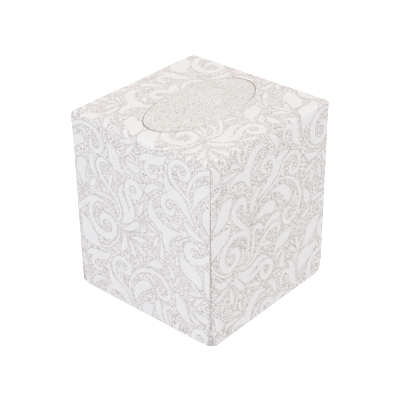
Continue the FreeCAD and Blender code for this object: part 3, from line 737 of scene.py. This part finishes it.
def write_normals(mesh, places, directions, corner_points, skins_end):
    """Normals that follow the folds over both skins, and flat ones on the raw edges, which are
    the faces past skins_end."""
    normals = directions[corner_points]
    for k in range(skins_end, len(corner_points), 4):
        corners = places[corner_points[k:k + 4]]
        flat_normal = np.cross(corners[2] - corners[0], corners[3] - corners[1])
        normals[k:k + 4] = flat_normal / max(np.linalg.norm(flat_normal), LEAST_AREA)
    mesh.polygons.foreach_set("use_smooth", np.ones(len(mesh.polygons), bool))
    mesh.normals_split_custom_set(normals.tolist())


# Where each panel of the blank lies in the layout that the finish is baked to, in millimetres:
# its corner, and how it is turned.
LAYOUT_SIDE = 366.0
LAYOUT = {
    "front": ((72.0, 3.0), ((1, 0), (0, 1))),
    "back": ((216.0, 3.0), ((-1, 0), (0, -1))),
    "right": ((57.0, 200.0), ((0, -1), (1, 0))),
    "left": ((170.0, 200.0), ((0, 1), (-1, 0))),
    "top": ((284.0, 256.0), ((1, 0), (0, 1))),
}
PLAIN_CORNER = np.array((289.0, 4.0))       # the plain skin's patch
PLAIN_SCALE = 0.14
BLANK_REACH = 250.0         # no part of the blank lies further out than this


def write_layout(mesh, flat, corner_points, printed_end):
    """The piece's own layout for its finish: the printed skin, which ends at printed_end, panel
    by panel, and the plain skin and the raw edges small in a corner."""
    corners = flat[corner_points[:printed_end].reshape(-1, 3)]
    middle = corners.mean(1)
    panel = panel_of(middle)
    chosen = {
        "top": panel == 0,
        "front": (panel == 1) & (middle[:, 1] > 0),
        "back": (panel == 1) & (middle[:, 1] <= 0),
        "right": (panel == 2) & (middle[:, 0] > 0),
        "left": (panel == 2) & (middle[:, 0] <= 0),
    }
    spread = np.zeros(corners.shape)
    for name, (corner, turn) in LAYOUT.items():
        start = (0, 0 if name == "top" else TOP_FLAT)
        spread[chosen[name]] = corners[chosen[name]] @ np.array(turn).T - start + corner
    small = PLAIN_CORNER + (flat[corner_points[printed_end:]] + BLANK_REACH) * PLAIN_SCALE
    layout = np.vstack((spread.reshape(-1, 2), small)) / LAYOUT_SIDE
    layer = mesh.uv_layers.new(name="OFBake")
    layer.data.foreach_set("uv", layout.ravel().astype(np.float32))


def linear(hex_colour):
    """An sRGB hex colour as the linear colour that a shader takes."""
    parts = [int(hex_colour[i:i + 2], 16) / 255 for i in (1, 3, 5)]
    return tuple(p / 12.92 if p <= 0.04045 else ((p + 0.055) / 1.055) ** 2.4 for p in parts) + (1.0,)


def add_node(owner, kind, settings=None, **inputs):
    """Adds a node with its settings, and gives each input its value or links an output to it. An
    input is called by its name, with _ for a space, or by i and its number."""
    node = owner.node_tree.nodes.new(kind)
    for key, value in (settings or {}).items():
        setattr(node, key, value)
    for key, value in inputs.items():
        numbered = key[0] == "i" and key[1:].isdigit()
        socket = node.inputs[int(key[1:]) if numbered else key.replace("_", " ")]
        if isinstance(value, bpy.types.NodeSocket):
            owner.node_tree.links.new(value, socket)
        else:
            socket.default_value = value
    return node


def new_material(name):
    """An empty material, and the coordinates of its object."""
    material = bpy.data.materials.new(name)
    material.use_nodes = True
    material.node_tree.nodes.clear()
    return material, add_node(material, "ShaderNodeTexCoord").outputs["Object"]


def finished(material, surface):
    """The material, once its surface is linked to its output."""
    add_node(material, "ShaderNodeOutputMaterial", Surface=surface.outputs[0])
    return material


def mixed(owner, share, under, over):
    """A mix of two colours, with this share of the second."""
    return add_node(owner, "ShaderNodeMix", {"data_type": "RGBA"}, i0=share, i6=under, i7=over).outputs[2]


def ranged(owner, value, **limits):
    """The value, taken from one range to another and kept within it. A range is 0 to 1 unless
    its limits are given."""
    return add_node(owner, "ShaderNodeMapRange", Value=value, **limits).outputs[0]


def noise(owner, place, millimetres, **more):
    """Uneven patches about this wide."""
    return add_node(owner, "ShaderNodeTexNoise", Vector=place,
                    Scale=1 / (millimetres * MM), **more).outputs[0]


def relief(owner, height, strength, millimetres):
    """The direction of a surface that stands this much higher where the height is 1."""
    return add_node(owner, "ShaderNodeBump", Height=height, Strength=strength,
                    Distance=millimetres * MM).outputs[0]


def printed_paperboard(name, tones):
    """Clay-coated white paperboard, offset printed in warm grey and sealed with a dull water
    varnish. It gives the eye matt near-white ornament on a ground of fine grey specks, a dotted
    dark line round each shape, and a soft sheen at a low angle. The top panel's softer stipple is
    painted sheen, and the glue flap strips carry painted shade."""
    material, place = new_material(name)
    up = add_node(material, "ShaderNodeSeparateXYZ", i0=place).outputs[2]
    ink = add_node(material, "ShaderNodeAttribute", {"attribute_name": "ink"}).outputs["Fac"]

    def tone(part):
        return linear(tones[part])

    def laid_over(colour, layers):
        """The colour, covered by each layer on the faces marked with the layer's ink."""
        for value, layer in layers:
            here = add_node(material, "ShaderNodeMath", {"operation": "COMPARE"}, i0=ink, i1=value, i2=0.3)
            colour = mixed(material, here.outputs[0], colour, layer)
        return colour

    def grain(millimetres, detail, low, high, most=1.0):
        """An uneven grain of this size, from 0 to most."""
        patches = noise(material, place, millimetres, Detail=detail, Roughness=0.6)
        return ranged(material, patches, From_Min=low, From_Max=high, To_Max=most)

    def dabs(millimetres, rim, weakest):
        """A stipple of round dabs about this far apart, and a random shade for each dab. It is 1
        in a dab, weaker in some, and 0 past the rim, which is a share of the spacing."""
        cells = add_node(material, "ShaderNodeTexVoronoi", Vector=place,
                         Scale=1 / (millimetres * MM), Randomness=0.8).outputs
        chance = add_node(material, "ShaderNodeSeparateColor", i0=cells["Color"]).outputs
        disc = ranged(material, cells["Distance"], From_Min=rim, From_Max=0.30)
        strength = ranged(material, chance[0], From_Max=0.7, To_Min=weakest)
        inked = add_node(material, "ShaderNodeMath", {"operation": "MULTIPLY"}, i0=disc, i1=strength)
        return inked.outputs[0], chance[1]

    # The ground is stippled with round dabs of two greys, one browner, about 0.9 mm apart.
    specks, which_grey = dabs(0.9, 0.62, 0.3)
    dark = mixed(material, which_grey, tone("browner dabs"), tone("greyer dabs"))
    ground = mixed(material, specks, tone("ground"), dark)
    # On the top panel the stipple is softer, nearer its own mean tone. This is painted sheen: it stands in
    # for the varnish's gloss, which lowers the print's contrast where the top is seen at a low angle.
    painted_sheen_on_top = ranged(material, up, From_Min=119.5 * MM, From_Max=123.5 * MM, To_Max=tones["painted sheen on top"])
    ground = mixed(material, painted_sheen_on_top, ground, linear("#D4CECE"))
    # The line round each shape is a row of the same dabs, larger and closer.
    dots, _ = dabs(0.8, 0.75, 0.4)
    line = mixed(material, dots, tone("between line dabs"), tone("line dabs"))
    # The ornament is bare coated board with a faint scatter of ink 0.7 mm across.
    scatter = grain(0.7, 1.0, 0.30, 0.50)
    pale = mixed(material, scatter, tone("tinted ornament"), tone("ornament"))
    faint = ranged(material, specks, To_Max=tones["dabs on ornament"])
    pale = mixed(material, faint, pale, dark)
    colour = laid_over(ground, ((OUTLINE, line), (ORNAMENT, pale)))
    # The ink fades here and there over a centimetre or two, as on a long print run.
    fading = grain(14.0, 2.0, 0.35, 0.65, tones["fading"])
    colour = mixed(material, fading, colour, tone("ornament"))
    # Uncoated board back: slightly yellower, with fibres about 0.5 mm long.
    bare = mixed(material, grain(0.5, 3.0, 0.3, 0.7), linear("#DEDAD2"), linear("#F0EDE8"))
    # The die's cut lays bare the board's brown middle, crushed and in its own shade.
    cut = linear("#BE9875")
    # The strip of glue flap beside each seam is all ground, with its dabs further apart, and it is
    # painted darker than the ground as painted shade in the seam. Higher up, where the strip is a thin
    # line, it is painted more even and darker than at the foot: painted shade from the side wall's raw edge.
    flap_dabs, _ = dabs(1.1, 0.62, 0.1)
    # the flap's ground dabs, on tones darkened by painted shade
    flap_print_and_painted_shade = mixed(material, flap_dabs, linear("#DAD4D6"), linear("#978A8B"))
    painted_shade_higher_up = ranged(material, up, From_Min=25 * MM, From_Max=60 * MM, To_Max=0.5)
    flap_print_and_painted_shade = mixed(material, painted_shade_higher_up, flap_print_and_painted_shade, linear("#9A8C8A"))
    colour = laid_over(colour, ((BARE, bare), (CUT, cut), (FLAP, flap_print_and_painted_shade)))
    # The varnish is a little more even over ink than over bare board.
    sheen = ranged(material, scatter, To_Min=0.50, To_Max=0.62)
    # Fibre relief of a few microns, drawn at 0.4 mm.
    fibres = relief(material, grain(0.4, 2.0, 0.2, 0.8), 0.10, 0.04)
    return finished(material, add_node(material, "ShaderNodeBsdfPrincipled", Base_Color=colour,
                                       Roughness=sheen, IOR=1.5, Normal=fibres))


def clear_film():
    """Blown polyethylene film, 0.08 mm: a clear, slightly milky skin with a glossy highlight."""
    material, place = new_material("polyethylene_film")
    # The film's thickness drifts over about 17 mm.
    haze = noise(material, place, 16.7, Detail=2.0)
    colour = mixed(material, haze, linear("#E9ECEE"), linear("#F6F7F7"))
    return finished(material, add_node(material, "ShaderNodeBsdfPrincipled", Base_Color=colour,
                                       Roughness=0.18, IOR=1.51, Alpha=0.10,
                                       Normal=relief(material, haze, 0.2, 0.1)))


def creped_tissue():
    """Soft white facial tissue, creped and calendered: dead matt and fibrous, with fine creping
    across the sheet and the edges of the folded sheets showing as layers, with painted shade between them."""
    material, place = new_material("creped_tissue")
    # The layers are drawn 2.4 mm apart, so that they show, and painted shade darkens the lines between them.
    repeat = 2 * math.pi / 20       # metres from one wave to the next at a scale of 1
    layers = add_node(material, "ShaderNodeTexWave", {"bands_direction": "X"}, Vector=place,
                      Scale=repeat / (2.417 * MM), Distortion=3.0, Detail=2.0).outputs[1]
    # The fibres are drawn 0.4 mm thick, so that they show.
    fibres = noise(material, place, 0.4, Detail=3.0)
    colour = mixed(material, fibres, linear("#E4E3E1"), linear("#F6F5F3"))
    # painted shade in the gaps between the folded sheets
    painted_shade_between_layers = ranged(material, layers, To_Max=0.35)
    colour = mixed(material, painted_shade_between_layers, colour, linear("#DCDBD9"))
    return finished(material, add_node(material, "ShaderNodeBsdfPrincipled", Base_Color=colour,
                                       Roughness=0.95, IOR=1.5,
                                       Normal=relief(material, layers, 0.5, 0.3)))


def seen_by_camera(owner):
    """1 for what the camera sees, also in gloss and through film, and 0 for what lights the box."""
    rays = add_node(owner, "ShaderNodeLightPath").outputs
    seen = rays["Is Camera Ray"]
    for kind in ("Is Glossy Ray", "Is Transmission Ray"):
        seen = add_node(owner, "ShaderNodeMath", {"operation": "MAXIMUM"}, i0=seen, i1=rays[kind]).outputs[0]
    return seen


def paper_sweep():
    """Matt white background paper, pale and without gloss. It keeps the box's shadow, and a glow
    that only the camera sees makes the rest of it plain white."""
    material, _ = new_material("matt_white_paper_sweep")
    glow = add_node(material, "ShaderNodeMath", {"operation": "MULTIPLY"},
                    i0=seen_by_camera(material), i1=0.55).outputs[0]
    paper = add_node(material, "ShaderNodeBsdfPrincipled", Base_Color=linear("#E6E6E6"), Roughness=0.9,
                     Emission_Color=(1, 1, 1, 1), Emission_Strength=glow).outputs[0]
    # Seen from underneath the paper is clear, so that the box's foot can be looked at.
    underneath = add_node(material, "ShaderNodeNewGeometry").outputs["Backfacing"]
    clear = add_node(material, "ShaderNodeBsdfTransparent").outputs[0]
    return finished(material, add_node(material, "ShaderNodeMixShader", i0=underneath, i1=paper, i2=clear))


def white_tent():
    """The world: even pale light all round, and plain white where the camera looks past the floor."""
    world = bpy.data.worlds.new("white_tent")
    world.use_nodes = True
    world.node_tree.nodes.clear()
    tent = add_node(world, "ShaderNodeBackground", Color=linear("#FEFFFE"), Strength=0.585).outputs[0]
    plain = add_node(world, "ShaderNodeBackground", Color=(1, 1, 1, 1), Strength=1.0).outputs[0]
    both = add_node(world, "ShaderNodeMixShader", i0=seen_by_camera(world), i1=tent, i2=plain).outputs[0]
    add_node(world, "ShaderNodeOutputWorld", Surface=both)
    return world


def soft_lamp(name, place, size, power, colour):
    """A square soft lamp aimed at the middle of the box."""
    bpy.ops.object.light_add(type="AREA", location=place)
    lamp = bpy.context.object
    lamp.name = name
    lamp.data.size = size
    lamp.data.energy = power
    lamp.data.color = linear(colour)[:3]
    aim = Vector((0, 0, 0.06)) - Vector(place)
    lamp.rotation_euler = aim.to_track_quat("-Z", "Y").to_euler()


# The camera, fitted to the box's seven visible corners in the photograph.
AZIMUTH = math.radians(-48.38)
ELEVATION = math.radians(30.74)
ROLL = math.radians(-0.84)
DISTANCE = 699.5
TARGET = np.array((-6.10, -3.91, 61.6))
FOCAL_PIXELS = 1131
PHOTO_PIXELS = 400
SENSOR = 36.0               # width of the sensor


def photo_camera():
    """The photograph's camera."""
    back = np.array((math.sin(AZIMUTH) * math.cos(ELEVATION),
                     -math.cos(AZIMUTH) * math.cos(ELEVATION), math.sin(ELEVATION)))
    right = np.array((math.cos(AZIMUTH), math.sin(AZIMUTH), 0.0))
    up = np.cross(back, right)
    turned_right = right * math.cos(ROLL) + up * math.sin(ROLL)
    turned_up = up * math.cos(ROLL) - right * math.sin(ROLL)
    place = (TARGET + back * DISTANCE) * MM
    bpy.ops.object.camera_add()
    camera = bpy.context.object
    camera.name = "camera"
    camera.data.sensor_width = SENSOR
    camera.data.lens = SENSOR * FOCAL_PIXELS / PHOTO_PIXELS
    camera.data.clip_start = 0.01
    camera.data.clip_end = 20.0
    rows = [(turned_right[i], turned_up[i], back[i], place[i]) for i in range(3)]
    camera.matrix_world = Matrix(rows + [(0, 0, 0, 1)])
    return camera


# The tones of the two printed pieces. The last three are shares: how much of the ground's dabs
# shows on the ornament, how far the print fades, and how much the stipple on the top panel is
# softened as painted sheen. The oval panel's own tones are soft already, so no painted sheen is added to
# them.
BOX_TONES = {
    "browner dabs": "#968063",
    "greyer dabs": "#8E8497",
    "ground": "#E9E5E5",
    "line dabs": "#A99C95",
    "between line dabs": "#E6E1E1",
    "ornament": "#E7E4E5",
    "tinted ornament": "#DDDADB",
    "dabs on ornament": 0.10,
    "fading": 0.10,
    "painted sheen on top": 0.32,
}
OVAL_TONES = {
    "browner dabs": "#9F937C",
    "greyer dabs": "#9E979E",
    "ground": "#E5E1E1",
    "line dabs": "#BEB8B3",
    "between line dabs": "#E2DEDD",
    "ornament": "#E2DFDF",
    "tinted ornament": "#D3CFCB",
    "dabs on ornament": 0.65,
    "fading": 0.25,
    "painted sheen on top": 0.0,
}

shapes = printed_shapes()
opening = oval(OPENING_HALF_LENGTH, OPENING_HALF_WIDTH, OVAL_POINTS)
carton = board_piece("carton_blank", blank_outline(), opening, cut_lines(), shapes, PRINT_BLEED)
carton.data.materials.append(printed_paperboard("printed_paperboard", BOX_TONES))
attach(carton, "root")
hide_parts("carton")

oval_shapes = [pair for pair in shapes if np.any(np.abs(pair[1] / ROUND_THE_CUT).max(1) < 1)]
panel = board_piece("tear_out_oval", panel_outline(), None, [], oval_shapes, None)
panel.data.materials.append(printed_paperboard("printed_paperboard_oval", OVAL_TONES))
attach(panel, "root")
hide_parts("tear_out_panel")

for node, make in (("film_insert", clear_film), ("tissue_stack", creped_tissue)):
    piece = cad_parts[node]
    piece.data.materials.clear()
    piece.data.materials.append(make())

# The floor lies just under the foot, so that the two never share a plane.
bpy.ops.object.select_all(action="DESELECT")
bpy.ops.mesh.primitive_plane_add(size=6.0, location=(0, 0, -0.3 * MM))
floor = bpy.context.object
floor.name = "floor"
floor.data.materials.append(paper_sweep())

bpy.context.scene.world = white_tent()
soft_lamp("top_lamp", (-0.25, -0.5, 1.45), 1.0, 8.0, "#FFFDF3")
soft_lamp("left_lamp", (-1.25, -0.45, 0.55), 0.8, 7.1, "#ECF4FF")
soft_lamp("front_lamp", (0.15, -1.3, 0.5), 0.8, 2.1, "#F8FAFF")
soft_lamp("back_lamp", (0.9, 1.1, 0.7), 0.8, 3.5, "#FFF9F0")
bpy.context.scene.camera = photo_camera()
bpy.context.scene.view_settings.view_transform = "Standard"
